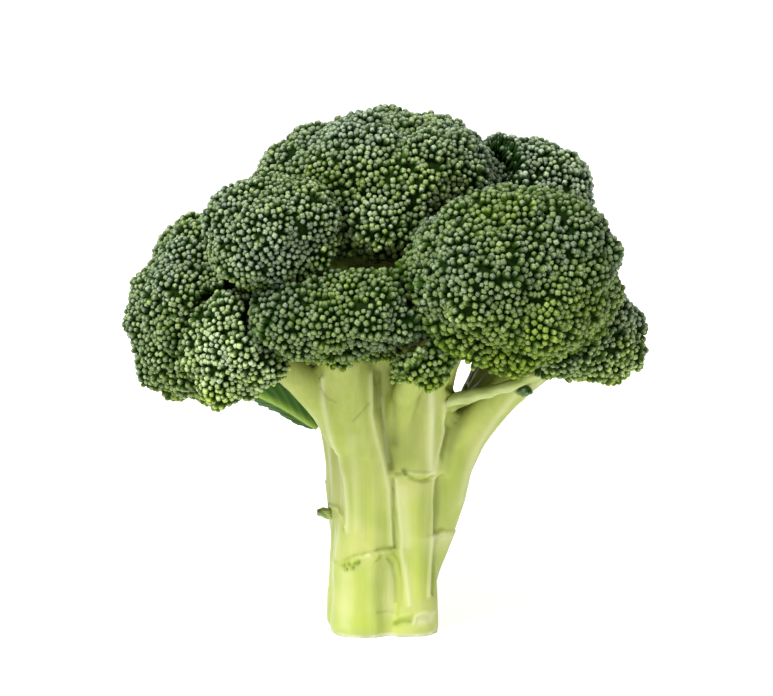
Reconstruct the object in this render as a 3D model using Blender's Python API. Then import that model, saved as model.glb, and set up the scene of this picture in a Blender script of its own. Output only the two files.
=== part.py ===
"""A broccoli head standing on its cut stalk.

The stalk is a bundle of fused branches that part near the top.  Each branch
carries one floret, a bun-shaped mass of flower buds.  A small leaf, a leaf
stalk, a bract and a leaf stub still sit on the sides of the stalk.
Origin: centre of the flat cut.  +Z is up and the front faces -Y.
Lengths in the tables are in millimetres.
"""
import bmesh
import bpy
from mathutils import Matrix, Vector, noise

MM = 0.001
GAP = 0.3                 # clearance between pieces that touch in the plant
TRIM_DEPTH = 4.0          # the branches start this far below the cut plane
TRIM_BLOCK = 100.0        # block that takes off what is below the cut plane
CREASE_ANGLE = 0.9        # radians; softer edges than this are shaded smooth

FLORET_SQUARENESS = 2.5   # 2 is an ellipsoid, more has fuller shoulders
FLORET_UNDERSIDE = 0.5    # depth of the underside over the height of the dome
LUMP_HEIGHT = 0.07        # of the floret's radius
LUMP_PITCH = 2.3          # lumps per radian, about
LARGE_FLORET = 32.0       # a floret with a greater half width gets a finer mesh

BRANCH_SIDES = 3          # bevel resolution, which gives 10 sides
TRUNK_SIDES = 4           # bevel resolution, which gives 12 sides
BRANCH_STEPS = 3          # rings between two points of a branch

# name: centre, direction it faces, half width, half height, depth of the dome.
# A floret lower in the list makes way for those above it.
FLORETS = {
    "floret_front_right": ((37.5, -33, 112), (0.25, -0.62, 0.60), 33, 28.5, 30),
    "floret_upper_left": ((-31, -24, 124), (-0.48, -0.60, 0.60), 21.5, 18.5, 22),
    "floret_front": ((-11, -32, 101.2), (0.00, -0.95, 0.26), 29.5, 15, 21.5),
    "floret_front_left": ((-42.5, -24, 92.5), (-0.55, -0.80, -0.05), 16.5, 17, 18),
    "floret_lower_front": ((10, -37, 91.5), (0.10, -0.90, -0.10), 12, 9.5, 11),
    "floret_crown": ((1, 6, 128), (0.00, -0.05, 1.00), 39.5, 35, 31.5),
    "floret_back_right": ((39.5, 18, 124), (0.55, 0.25, 0.75), 24, 24, 24.5),
    "floret_far_left": ((-49.5, -2, 97.5), (-0.95, -0.12, 0.24), 28, 29, 27.5),
    "floret_right": ((57, -4, 93.5), (0.95, -0.10, -0.32), 20, 15.5, 25.5),
    "floret_right_front": ((52, -19, 96), (0.65, -0.60, -0.15), 17, 13.5, 17),
    "floret_back": ((1, 42, 111), (0.00, 0.90, 0.40), 30, 27, 24),
    "floret_back_left": ((-38, 33, 103), (-0.62, 0.65, 0.30), 27, 26, 24),
    "floret_back_low_right": ((36, 34, 99), (0.66, 0.70, 0.15), 25, 21, 23),
    "floret_upper_back_left": ((-31, 20, 117), (-0.55, 0.45, 0.70), 22, 22, 21),
}

# name: points up the branch, each x, y, z and radius.
TRUNK = [(0, 1, -TRIM_DEPTH, 15.0), (0, 1, 22, 14.3), (2, 4, 48, 15.0), (3, 6, 74, 14.5),
         (3, 6, 98, 12.0), (2, 5, 118, 9.0)]
BRANCHES = {
    "front": [(-6, -8.5, -TRIM_DEPTH, 11.0), (-6, -8.5, 12, 9.6), (-5.8, -8, 24, 9.6),
              (-5, -9, 41, 8.0), (-6, -10, 56, 8.0), (-9, -14, 72, 9.2), (-12, -22, 90, 8.0)],
    "front_left": [(-10, -12, 62, 7.5), (-19, -17, 75, 6.0), (-32, -21, 87, 5.0)],
    "upper_left": [(-6, -4, 74, 9.0), (-18, -8, 92, 8.0), (-27, -16, 112, 6.5)],
    "front_right": [(8, -9, -TRIM_DEPTH, 9.4), (9.5, -7, 22, 7.0), (9, -8, 41, 7.0),
                    (10, -9, 56, 7.6), (12, -12, 72, 8.4), (18, -19, 90, 7.0), (30, -28, 106, 6.5)],
    "lower_front": [(4, -10, 60, 5.0), (6, -22, 74, 4.4), (10, -33, 85, 4.0)],
    "right": [(9, 1, -TRIM_DEPTH, 8.0), (10, 0, 12, 6.2), (14, -1, 27, 7.0), (18, -1, 40, 7.5),
              (22, -2, 55, 7.6), (32, -4, 70, 7.2), (42, -7, 80, 7.0), (52, -6, 88, 6.5)],
    "right_front": [(36, -5, 73, 5.5), (45, -13, 83, 5.2), (51, -17, 90, 4.5)],
    "left": [(-9.4, 2, -TRIM_DEPTH, 8.8), (-8.3, 3, 16, 7.2), (-9.5, 3, 40, 8.2), (-10.5, 3, 56, 8.2),
             (-15, 2, 72, 8.2), (-29, 0, 86, 7.6), (-43, -2, 95, 6.5)],
    "back_left": [(-5, 9, -TRIM_DEPTH, 7.5), (-5, 11, 25, 7.5), (-6, 13, 50, 7.8),
                  (-13, 18, 74, 8.0), (-28, 26, 94, 7.0)],
    "back": [(5, 9, -TRIM_DEPTH, 7.5), (5, 11, 25, 7.5), (5, 15, 50, 8.0), (4, 22, 76, 8.0),
             (2, 33, 100, 7.0)],
    "back_low_right": [(10, 8, 32, 6.5), (17.5, 14, 51, 6.0), (28, 20, 65, 5.6), (36, 27, 82, 5.6)],
    "back_right": [(7, 8, 76, 8.5), (19, 12, 95, 7.5), (34, 16, 113, 6.5)],
    "upper_back_left": [(-5, 9, 78, 8.0), (-16, 14, 96, 7.0), (-26, 18, 110, 6.0)],
}

LEAF_ROOT = Vector((-19.0, -10.0, 65.5))
LEAF_TIP = Vector((-43.0, -21.0, 75.0))
LEAF_FACING = Vector((-0.25, -0.75, -0.60))
LEAF_HALF_WIDTH = 6.0
LEAF_ROOT_HALF_WIDTH = 1.6
LEAF_TIP_HALF_WIDTH = 0.3
LEAF_THICKNESS = 0.9
LEAF_ARCH = 4.0
LEAF_CURL = 2.5
LEAF_BLUNTNESS = 0.6      # 0.5 is an ellipse, more is more pointed

LEAF_STALK = [(18, -16, 73, 2.2), (30, -20.5, 76.5, 1.9), (42, -22, 80.5, 1.7), (50, -23, 84.5, 1.5)]
BRACT = [(40.5, -13, 76.6, 2.0), (42.8, -15.5, 76.4, 1.8), (45, -17.5, 76, 0.8)]
LEAF_STUB = [(-15, 0, 35.0, 2.2), (-18, -1.5, 35.6, 1.7), (-20, -2, 36.0, 1.1)]

# Colour and roughness of each kind of tissue.
SKIN = ((0.52, 0.60, 0.18), 0.45)
BUD = ((0.06, 0.12, 0.03), 0.70)
LEAF = ((0.05, 0.14, 0.02), 0.50)


def clear_scene():
    for old in list(bpy.data.objects):
        bpy.data.objects.remove(old, do_unlink=True)


def add_material(obj, look):
    colour, roughness = look
    material = bpy.data.materials.new(obj.name)
    material.use_nodes = True
    shader = material.node_tree.nodes["Principled BSDF"]
    shader.inputs["Base Color"].default_value = (*colour, 1.0)
    shader.inputs["Roughness"].default_value = roughness
    shader.inputs["Metallic"].default_value = 0.0
    obj.data.materials.clear()
    obj.data.materials.append(material)


def link_mesh(name, mesh):
    obj = bpy.data.objects.new(name, mesh)
    bpy.context.collection.objects.link(obj)
    return obj


def hide_as_cutter(obj):
    obj.hide_render = True
    obj.display_type = "WIRE"


def evaluated_copy(obj):
    """The object's mesh with its curve bevel or modifiers worked out."""
    graph = bpy.context.evaluated_depsgraph_get()
    return bpy.data.meshes.new_from_object(obj.evaluated_get(graph))


def branch_mesh(points, sides, grow):
    """A round limb whose radius follows the points along its smooth path."""
    curve = bpy.data.curves.new("limb", "CURVE")
    curve.dimensions = "3D"
    curve.bevel_depth = MM
    curve.bevel_resolution = sides
    curve.resolution_u = BRANCH_STEPS
    curve.use_fill_caps = True
    spline = curve.splines.new("BEZIER")
    spline.bezier_points.add(len(points) - 1)
    for knot, (x, y, z, radius) in zip(spline.bezier_points, points):
        knot.co = Vector((x, y, z)) * MM
        knot.radius = radius + grow
        knot.handle_left_type = "AUTO"
        knot.handle_right_type = "AUTO"
    limb = link_mesh("limb", curve)
    mesh = evaluated_copy(limb)
    bpy.data.objects.remove(limb)
    bpy.data.curves.remove(curve)
    return mesh


def boolean(obj, other, operation):
    """Cut or join another object, and settle the result in the mesh."""
    modifier = obj.modifiers.new(other.name, "BOOLEAN")
    modifier.operation = operation
    modifier.solver = "EXACT"
    modifier.object = other
    result = evaluated_copy(obj)
    obj.modifiers.remove(modifier)
    obj.data = result


def keep_largest_body(obj):
    """Drop the slivers that a cut leaves beside the main body."""
    body = bmesh.new()
    body.from_mesh(obj.data)
    unseen = set(body.verts)
    islands = []
    while unseen:
        front = [unseen.pop()]
        island = set(front)
        while front:
            vert = front.pop()
            for edge in vert.link_edges:
                neighbour = edge.other_vert(vert)
                if neighbour in unseen:
                    unseen.remove(neighbour)
                    island.add(neighbour)
                    front.append(neighbour)
        islands.append(island)
    islands.sort(key=len)
    for island in islands[:-1]:
        bmesh.ops.delete(body, geom=list(island), context="VERTS")
    body.to_mesh(obj.data)
    body.free()


def shade(obj):
    obj.data.shade_smooth()
    obj.data.set_sharp_from_angle(angle=CREASE_ANGLE)


def cut_back(piece, clearances):
    """Keep one body of the piece, clear of everything that was there before it."""
    for clearance in clearances:
        boolean(piece, clearance, "DIFFERENCE")
    keep_largest_body(piece)
    shade(piece)


def make_stalk(name, grow):
    """The fused bundle of branches, trimmed flat at the cut."""
    stalk = link_mesh(name, branch_mesh(TRUNK, TRUNK_SIDES, grow))
    for points in BRANCHES.values():
        limb = link_mesh("limb", branch_mesh(points, BRANCH_SIDES, grow))
        boolean(stalk, limb, "UNION")
        bpy.data.objects.remove(limb)
    block = bmesh.new()
    below = Matrix.Translation((0, 0, -TRIM_BLOCK / 2 * MM))
    bmesh.ops.create_cube(block, size=TRIM_BLOCK * MM, matrix=below)
    mesh = bpy.data.meshes.new("trim")
    block.to_mesh(mesh)
    block.free()
    trim = link_mesh("trim", mesh)
    boolean(stalk, trim, "DIFFERENCE")
    bpy.data.objects.remove(trim)
    keep_largest_body(stalk)
    return stalk


def facing(direction):
    """Axes of a floret: level across, up the dome's side, and out of it."""
    out = Vector(direction).normalized()
    upright = abs(out.z) > 0.99
    across = Vector((1, 0, 0)) if upright else Vector((0, 0, 1)).cross(out).normalized()
    side = out.cross(across)
    return Matrix((across, side, out)).transposed()


def floret_mesh(spec, grow):
    """A lumpy bun: full shoulders, a domed top and a shallow underside."""
    centre, direction, half_width, half_height, depth = spec
    axes = facing(direction)
    fine = 4 if half_width > LARGE_FLORET else 3
    ball = bmesh.new()
    bmesh.ops.create_icosphere(ball, subdivisions=fine, radius=1.0)
    for vert in ball.verts:
        ray = vert.co.normalized()
        radial = Vector((ray.x, ray.y)).length
        fullness = (radial ** FLORET_SQUARENESS + abs(ray.z) ** FLORET_SQUARENESS)
        reach = fullness ** (-1.0 / FLORET_SQUARENESS)
        reach *= 1.0 + LUMP_HEIGHT * noise.noise(ray * LUMP_PITCH + Vector(centre))
        rise = depth if ray.z > 0 else depth * FLORET_UNDERSIDE
        local = Vector((ray.x * half_width, ray.y * half_height, ray.z * rise)) * reach
        local += local.normalized() * grow
        vert.co = (axes @ local + Vector(centre)) * MM
    mesh = bpy.data.meshes.new("floret")
    ball.to_mesh(mesh)
    ball.free()
    return mesh


def make_florets(stalk_clearance):
    """Every floret, cut back where the stalk or one above it in the list stands."""
    clearances = [stalk_clearance]
    for name, spec in FLORETS.items():
        floret = link_mesh(name, floret_mesh(spec, 0.0))
        cut_back(floret, clearances)
        add_material(floret, BUD)
        clearance = link_mesh(name + "_clearance", floret_mesh(spec, GAP))
        hide_as_cutter(clearance)
        clearances.append(clearance)
    return clearances


def leaf_mesh():
    """A pointed oval blade, hollow across and curling back towards its tip."""
    along = LEAF_TIP - LEAF_ROOT
    facing_out = (LEAF_FACING - LEAF_FACING.project(along)).normalized()
    sideways = along.cross(facing_out).normalized()
    grid = bmesh.new()
    bmesh.ops.create_grid(grid, x_segments=10, y_segments=4, size=1.0)
    for vert in grid.verts:
        share = (vert.co.x + 1.0) / 2.0
        width = LEAF_HALF_WIDTH * (4.0 * share * (1.0 - share)) ** LEAF_BLUNTNESS
        width += LEAF_ROOT_HALF_WIDTH * (1.0 - share) + LEAF_TIP_HALF_WIDTH
        curl = LEAF_CURL * (share ** 2 + 0.5 * vert.co.y ** 2 - share)
        arch = LEAF_ARCH * 4.0 * share * (1.0 - share)
        place = LEAF_ROOT + along * share + Vector((0, 0, arch))
        place += sideways * width * vert.co.y + facing_out * curl
        vert.co = place * MM
    mesh = bpy.data.meshes.new("leaf")
    grid.to_mesh(mesh)
    grid.free()
    blade = link_mesh("leaf_blade", mesh)
    solidify = blade.modifiers.new("thickness", "SOLIDIFY")
    solidify.thickness = LEAF_THICKNESS * MM
    solidify.offset = 0.0
    thick = evaluated_copy(blade)
    bpy.data.objects.remove(blade)
    return thick


def make_side_growths(clearances):
    """The leaf, the leaf stalk, the bract and the leaf stub, seated against the rest."""
    growths = {
        "left_leaf": (leaf_mesh(), LEAF),
        "right_leaf_stalk": (branch_mesh(LEAF_STALK, BRANCH_SIDES, 0.0), SKIN),
        "right_bract": (branch_mesh(BRACT, BRANCH_SIDES, 0.0), LEAF),
        "left_leaf_stub": (branch_mesh(LEAF_STUB, BRANCH_SIDES, 0.0), LEAF),
    }
    for name, (mesh, look) in growths.items():
        growth = link_mesh(name, mesh)
        cut_back(growth, clearances)
        add_material(growth, look)


clear_scene()
stalk = make_stalk("stalk", 0.0)
add_material(stalk, SKIN)
shade(stalk)
stalk_clearance = make_stalk("stalk_clearance", GAP)
hide_as_cutter(stalk_clearance)
make_side_growths(make_florets(stalk_clearance))
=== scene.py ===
"""Broccoli head on a pale table: stalk, florets of buds, a leaf and leaf remnants."""
import math

import bmesh
import bpy
import numpy as np
from mathutils import Matrix, Vector, bvhtree, kdtree, noise


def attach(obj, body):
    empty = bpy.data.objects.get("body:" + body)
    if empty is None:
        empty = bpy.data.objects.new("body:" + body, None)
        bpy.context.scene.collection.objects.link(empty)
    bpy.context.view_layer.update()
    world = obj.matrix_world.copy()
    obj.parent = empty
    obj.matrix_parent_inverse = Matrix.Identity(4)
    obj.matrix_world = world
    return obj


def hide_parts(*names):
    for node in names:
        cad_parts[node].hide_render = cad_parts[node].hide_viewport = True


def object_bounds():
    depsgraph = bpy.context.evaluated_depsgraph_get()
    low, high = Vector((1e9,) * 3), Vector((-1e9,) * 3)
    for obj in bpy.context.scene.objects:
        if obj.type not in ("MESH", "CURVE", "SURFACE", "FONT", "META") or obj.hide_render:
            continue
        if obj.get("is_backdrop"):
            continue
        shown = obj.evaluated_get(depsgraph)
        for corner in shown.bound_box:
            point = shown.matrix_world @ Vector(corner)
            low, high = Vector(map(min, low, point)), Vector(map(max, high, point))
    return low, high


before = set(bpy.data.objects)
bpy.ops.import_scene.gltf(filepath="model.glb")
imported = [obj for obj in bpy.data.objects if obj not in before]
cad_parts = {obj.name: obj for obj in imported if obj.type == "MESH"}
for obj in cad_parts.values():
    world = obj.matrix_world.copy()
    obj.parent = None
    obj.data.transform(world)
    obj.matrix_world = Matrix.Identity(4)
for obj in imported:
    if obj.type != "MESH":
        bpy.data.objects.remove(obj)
cad_low, cad_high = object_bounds()

# --- Studio -----------------------------------------------------------------
# A white light table under a broad lamp high on the left, with a weak lamp on
# the right.  The camera looks slightly down on the head through a long lens.
CAMERA_RISE = math.radians(10.0)
CAMERA_AWAY = 1.2
VIEW_WIDTH = 0.2358
AIM = Vector((0.0011, 0.0, 0.5428 * cad_high[2]))
FLOOR_HALF = 3.0

camera = bpy.data.objects.new("camera", bpy.data.cameras.new("camera"))
bpy.context.collection.objects.link(camera)
sight = Vector((0.0, math.cos(CAMERA_RISE), -math.sin(CAMERA_RISE)))
camera.location = AIM - sight * CAMERA_AWAY
camera.rotation_euler = sight.to_track_quat("-Z", "Y").to_euler()
camera.data.sensor_width = 36.0
camera.data.lens = camera.data.sensor_width * CAMERA_AWAY / VIEW_WIDTH
camera.data.clip_end = 20.0
bpy.context.scene.camera = camera
bpy.context.scene.view_settings.view_transform = "Standard"

room = bpy.data.worlds.new("room")
room.use_nodes = True
room.node_tree.nodes["Background"].inputs["Color"].default_value = (1.0, 1.0, 1.0, 1.0)
room.node_tree.nodes["Background"].inputs["Strength"].default_value = 0.5
bpy.context.scene.world = room


def add_lamp(name, place, size, power):
    lamp = bpy.data.lights.new(name, "AREA")
    lamp.size = size
    lamp.energy = power
    lamp_object = bpy.data.objects.new(name, lamp)
    bpy.context.collection.objects.link(lamp_object)
    lamp_object.location = place
    lamp_object.rotation_euler = (AIM - Vector(place)).to_track_quat("-Z", "Y").to_euler()


add_lamp("key_lamp", (-0.65, -0.65, 1.25), 0.5, 36.0)
add_lamp("fill_lamp", (1.0, -1.0, 0.5), 1.0, 3.0)

table = bmesh.new()
bmesh.ops.create_grid(table, x_segments=1, y_segments=1, size=FLOOR_HALF)
table_mesh = bpy.data.meshes.new("table")
table.to_mesh(table_mesh)
table.free()
table_top = bpy.data.objects.new("table", table_mesh)
bpy.context.collection.objects.link(table_top)
table_paint = bpy.data.materials.new("table")
table_paint.use_nodes = True
table_shader = table_paint.node_tree.nodes["Principled BSDF"]
table_shader.inputs["Base Color"].default_value = (0.8, 0.8, 0.8, 1.0)
table_shader.inputs["Emission Color"].default_value = (1.0, 1.0, 1.0, 1.0)
table_shader.inputs["Emission Strength"].default_value = 0.65
table_mesh.materials.append(table_paint)
table_top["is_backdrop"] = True

# --- Stalk ------------------------------------------------------------------
# The thick stem and its branches are one growth, cut flat below.  Its ribs run
# up into the branches, and leaves snapped off it have left scars and plates.
STALK_GRAIN = 0.0011
# Below this height the skin is split once more; above it the florets hide the stalk.
STALK_SEEN = 0.084


class Wire:
    """A value on its way through a material, with arithmetic."""

    def __init__(self, tree, socket):
        self.tree = tree
        self.socket = socket

    def plug(self, socket, value):
        if isinstance(value, Wire):
            self.tree.links.new(value.socket, socket)
        else:
            socket.default_value = value

    def math(self, operation, first, second):
        node = self.tree.nodes.new("ShaderNodeMath")
        node.operation = operation
        self.plug(node.inputs[0], first)
        self.plug(node.inputs[1], second)
        return Wire(self.tree, node.outputs[0])

    def __add__(self, other):
        return self.math("ADD", self, other)

    def __radd__(self, other):
        return self.math("ADD", other, self)

    def __sub__(self, other):
        return self.math("SUBTRACT", self, other)

    def __rsub__(self, other):
        return self.math("SUBTRACT", other, self)

    def __mul__(self, other):
        return self.math("MULTIPLY", self, other)

    def __rmul__(self, other):
        return self.math("MULTIPLY", other, self)


class Finish:
    """A material under construction around its Principled shader."""

    def __init__(self, name, roughness):
        self.material = bpy.data.materials.new(name)
        self.material.use_nodes = True
        self.tree = self.material.node_tree
        self.shader = self.tree.nodes["Principled BSDF"]
        self.shader.inputs["Roughness"].default_value = roughness

    def node(self, kind, settings, sockets, output=0):
        node = self.tree.nodes.new(kind)
        for name, value in settings.items():
            setattr(node, name, value)
        wires = Wire(self.tree, node.outputs[output])
        for name, value in sockets.items():
            wires.plug(node.inputs[name], value)
        return wires

    def attribute(self, name):
        """A number stored on the mesh."""
        return self.node("ShaderNodeAttribute", {"attribute_name": name}, {}, output=2)

    def place(self):
        return self.node("ShaderNodeTexCoord", {}, {}, output=3)

    def stretched(self, x, y, z):
        """The place with its axes squeezed or stretched."""
        sockets = {0: self.place(), 1: (x, y, z)}
        return self.node("ShaderNodeVectorMath", {"operation": "MULTIPLY"}, sockets)

    def noise(self, scale, detail, place=None):
        sockets = {"Vector": place or self.place(), "Scale": scale, "Detail": detail}
        return self.node("ShaderNodeTexNoise", {}, sockets)

    def between(self, value, low, high):
        """The value's way from low to high, 0 to 1."""
        return self.node("ShaderNodeMapRange", {}, {"Value": value, "From Min": low, "From Max": high})

    def blend(self, share, first, second):
        """A colour between two others."""
        sockets = {0: share, 6: first, 7: second}
        settings = {"data_type": "RGBA", "clamp_factor": True}
        return self.node("ShaderNodeMix", settings, sockets, output=2)

    def feed(self, socket, value):
        Wire(self.tree, None).plug(self.shader.inputs[socket], value)

    def relief(self, height, distance):
        sockets = {"Height": height, "Distance": distance, "Strength": 1.0}
        self.feed("Normal", self.node("ShaderNodeBump", {}, sockets))


def rgb(red, green, blue):
    return (red, green, blue, 1.0)


def link_piece(name, mesh, material, node=None):
    """A finished mesh as a piece of the object, in place of a CAD node where one is named."""
    piece = bpy.data.objects.new(name, mesh)
    bpy.context.collection.objects.link(piece)
    mesh.materials.clear()
    mesh.materials.append(material)
    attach(piece, "root")
    if node:
        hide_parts(node)
    return piece


def merged_copy(node):
    """A CAD solid as one connected mesh."""
    solid = bmesh.new()
    solid.from_mesh(bpy.data.objects[node].data)
    bmesh.ops.remove_doubles(solid, verts=solid.verts, dist=1e-6)
    mesh = bpy.data.meshes.new(node + "_copy")
    solid.to_mesh(mesh)
    solid.free()
    return mesh


def finished_copy(mesh, modifiers):
    """The mesh after a list of modifiers, each with its settings, has been applied."""
    helper = bpy.data.objects.new("helper", mesh)
    bpy.context.collection.objects.link(helper)
    for kind, settings in modifiers:
        modifier = helper.modifiers.new(kind.lower(), kind)
        for name, value in settings.items():
            setattr(modifier, name, value)
    graph = bpy.context.evaluated_depsgraph_get()
    result = bpy.data.meshes.new_from_object(helper.evaluated_get(graph))
    bpy.data.objects.remove(helper)
    return result


def remeshed(mesh, grain, smoothing):
    """The mesh with even square faces, its creases eased."""
    return finished_copy(mesh, [("REMESH", {"mode": "VOXEL", "voxel_size": grain}),
                                ("SMOOTH", {"factor": 0.5, "iterations": smoothing})])


def store(mesh, name, values):
    """Keep a number for each vertex on the mesh."""
    mesh.attributes.new(name, "FLOAT", "POINT").data.foreach_set("value", np.asarray(values, float))


def tree_of(mesh):
    solid = bmesh.new()
    solid.from_mesh(mesh)
    tree = bvhtree.BVHTree.FromBMesh(solid)
    solid.free()
    return tree


camera_up = Vector((0.0, math.sin(CAMERA_RISE), math.cos(CAMERA_RISE)))
MM = 0.001


def on_skin(tree, x, rise, turn):
    """The skin at x mm across and a rise in mm, looked at from the front or turned degrees from it."""
    swing = Matrix.Rotation(math.radians(turn), 3, "Z")
    eye = swing @ camera.location
    through = swing @ (Vector((x * MM, 0.0, 0.0)) + camera_up * rise * MM)
    hit = tree.ray_cast(eye, through - eye)[0]
    return hit if hit else tree.find_nearest(through)[0]


# Flesh that fills the forks: (lower end, upper end, lower radius, upper radius), in mm.
FILLETS = (
    ((1.5, -9.5, 40.0), (1.0, -16.5, 92.0), 5.0, 7.0),
    ((8.5, -9.2, 32.0), (6.5, -17.5, 80.0), 5.2, 5.5),
    ((16.0, -10.0, 50.0), (20.0, -9.5, 70.0), 4.0, 2.5),
    ((21.0, -8.0, 60.0), (48.5, -12.0, 90.0), 3.5, 4.5),
    ((13.0, -12.0, 69.0), (27.0, -18.5, 75.5), 3.6, 2.4),
    ((-10.5, -5.0, 12.0), (-13.0, -2.0, 66.0), 4.0, 3.6),
    ((22.0, 3.0, 58.0), (38.0, 9.0, 84.0), 5.0, 5.0),
    ((22.5, 10.0, 58.0), (38.5, 19.0, 86.0), 5.0, 5.0),
    ((2.6, -9.6, 0.3), (2.6, -8.0, 56.0), 4.8, 4.0),
    ((-13.0, -1.5, 0.3), (-12.0, -2.0, 40.0), 4.6, 3.8),
    ((2.0, 8.0, 45.0), (4.0, 12.0, 78.0), 6.0, 7.0),
    ((-10.0, 6.0, 45.0), (-14.0, 10.0, 74.0), 5.0, 5.0),
)


def filled_stalk():
    """The stalk's solid with the fillets, fused by the remeshing, and finer where it is seen."""
    flesh = bmesh.new()
    flesh.from_mesh(merged_copy("stalk"))
    for lower, upper, thick, thin in FILLETS:
        lower, upper = Vector(lower) * MM, Vector(upper) * MM
        stand = (upper - lower).to_track_quat("Z", "Y").to_matrix().to_4x4()
        place = Matrix.Translation((lower + upper) / 2) @ stand
        bmesh.ops.create_cone(flesh, cap_ends=True, segments=24, radius1=thick * MM, radius2=thin * MM,
                              depth=(upper - lower).length, matrix=place)
    mesh = bpy.data.meshes.new("filled_stalk")
    flesh.to_mesh(mesh)
    flesh.free()
    mesh = remeshed(mesh, STALK_GRAIN, 9)
    fine = bmesh.new()
    fine.from_mesh(mesh)
    seen = [edge for edge in fine.edges if max(vert.co.z for vert in edge.verts) < STALK_SEEN]
    bmesh.ops.subdivide_edges(fine, edges=seen, cuts=1, use_grid_fill=True)
    fine.to_mesh(mesh)
    fine.free()
    return finished_copy(mesh, [("SMOOTH", {"factor": 0.5, "iterations": 2})])


# The skin swells slowly along the growth, its cut face is flat, and a plate's edge is steep.
SWELL_RISE = 0.30 * MM
SWELL_SIZE = (0.003, 0.003, 0.030)
CUT_FLAT = 0.5 * MM
PLATE_EDGE = 0.4 * MM


# The colours that marks are painted in, the later ones over the earlier.
MARK_COLOURS = {
    "lime": rgb(0.33, 0.395, 0.050),
    # Olive is painted shade, laid in the grooves, the hollows and under the branches.
    "olive": rgb(0.13, 0.155, 0.022),
    # Pale is partly the skin's own paler parts and partly painted highlight on lit ridges.
    "pale": rgb(0.49, 0.51, 0.25),
    "brown": rgb(0.15, 0.13, 0.04),
    "green": rgb(0.10, 0.17, 0.012),
}


class Skin:
    """The stalk's surface while ridges, scars and colours are worked into it."""

    def __init__(self, mesh):
        self.mesh = mesh
        self.tree = tree_of(mesh)
        self.places = np.empty(len(mesh.vertices) * 3)
        mesh.vertices.foreach_get("co", self.places)
        self.places = self.places.reshape(-1, 3)
        self.normals = np.array([vert.normal for vert in mesh.vertices])
        self.lift = np.zeros(len(self.places))
        self.paint = {name: np.zeros(len(self.places)) for name in MARK_COLOURS}

    def line(self, points, width, rise=0.0, turn=0.0, plate=False, **paint):
        """Raise or sink and paint the skin along a line; a plate is raised only below it.

        Points are in mm across and up, as on_skin takes them, and width and rise are in mm.
        """
        path = [on_skin(self.tree, x, high, turn) for x, high in points]
        steps = [path[-1]]
        for start, end in zip(path, path[1:]):
            count = math.ceil((end - start).length / (0.5 * width * MM))
            steps += [start.lerp(end, k / count) for k in range(count)]
        steps = np.array(steps)
        margin = 3.0 * width * MM
        above = self.places > steps.min(axis=0) - margin
        below = self.places < steps.max(axis=0) + margin
        close_by = np.flatnonzero((above & below).all(axis=1))
        places = self.places[close_by]
        nearest = np.full(len(places), np.inf)
        drop = np.zeros(len(places))
        for step in steps:
            gap = np.linalg.norm(places - step, axis=1)
            closer = gap < nearest
            nearest[closer] = gap[closer]
            drop[closer] = step[2] - places[closer, 2]
        share = np.exp(-(nearest / (width * MM)) ** 2)
        if plate:
            share *= np.clip(drop / PLATE_EDGE, 0.0, 1.0)
        self.lift[close_by] += share * rise * MM
        for name, amount in paint.items():
            self.paint[name][close_by] += share * amount

    def finish(self):
        """Swell the skin, move it all and store the paint."""
        wide, deep, tall = SWELL_SIZE
        self.lift += [SWELL_RISE * noise.noise(Vector((x / wide, y / deep, z / tall)))
                      for x, y, z in self.places]
        moved = self.places + self.normals * self.lift[:, None]
        moved[self.places[:, 2] < CUT_FLAT, 2] = 0.0
        moved[:, 2] = np.maximum(moved[:, 2], 0.0)
        self.mesh.vertices.foreach_set("co", moved.ravel())
        for name, amount in self.paint.items():
            store(self.mesh, name, np.clip(amount, 0.0, 1.0))
        self.mesh.update()
        self.mesh.shade_smooth()


stalk_mesh = filled_stalk()
skin = Skin(stalk_mesh)
# Ribs, their edges and the grooves between them, down from the branches; the olive in the grooves and
# hollows is painted shade.
# The pale ridges, the left rib's edge most of all, are partly paler skin and partly painted highlight where
# the lamp from the left catches them.
left_rib = [(-18.6, 76), (-18.4, 68.7), (-16, 58), (-12.9, 50.3), (-11.5, 43.9), (-10.9, 36.8), (-10.9, 29)]
skin.line(left_rib, 0.9, rise=0.8, pale=0.8)
skin.line([(-12.8, 41), (-12.6, 36), (-12.4, 30)], 0.9, rise=-0.5, olive=0.14)
skin.line([(-16, 70), (-14.4, 60), (-11.4, 48)], 2.2, lime=0.30, green=0.08)
skin.line([(-3.8, 78), (-3.6, 65.5), (-2.2, 58.3), (0.2, 49.5), (1.8, 41.6), (2.2, 32), (2.6, 25)],
          0.9, rise=0.8, pale=0.6)
skin.line([(-1.6, 78), (-1.2, 66), (0.6, 57), (2.4, 48)], 0.9, rise=-0.8, olive=0.65)
skin.line([(0.6, 78), (0.8, 68), (1.6, 58), (2.6, 50)], 2.2, olive=0.55, lime=0.2)
skin.line([(3.0, 78), (3.2, 68), (3.6, 56)], 1.4, rise=-0.3, olive=0.45)
skin.line([(-0.6, 70), (0.4, 60), (1.6, 50)], 0.5, rise=0.4, brown=0.25, pale=0.3)
skin.line([(5.5, 78), (5.5, 66), (6, 52)], 3.2, olive=0.30, lime=0.3)
skin.line([(10.5, 78), (10.5, 66), (10, 52)], 2.4, olive=0.16)
skin.line([(14.6, 74), (15, 64), (14.6, 55), (14.8, 47.5)], 1.4, rise=0.8, pale=0.9)
skin.line([(3.2, 45), (3.2, 36), (3.3, 28), (3.6, 24.0)], 0.5, rise=-0.6, olive=0.55)
skin.line([(4.2, 45), (5.2, 33), (5.9, 22), (7.4, 13.7), (8.2, 6)], 0.8, rise=0.5, pale=0.75)
skin.line([(6.2, 42), (6.8, 32), (7.6, 24)], 1.5, pale=0.45)
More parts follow.
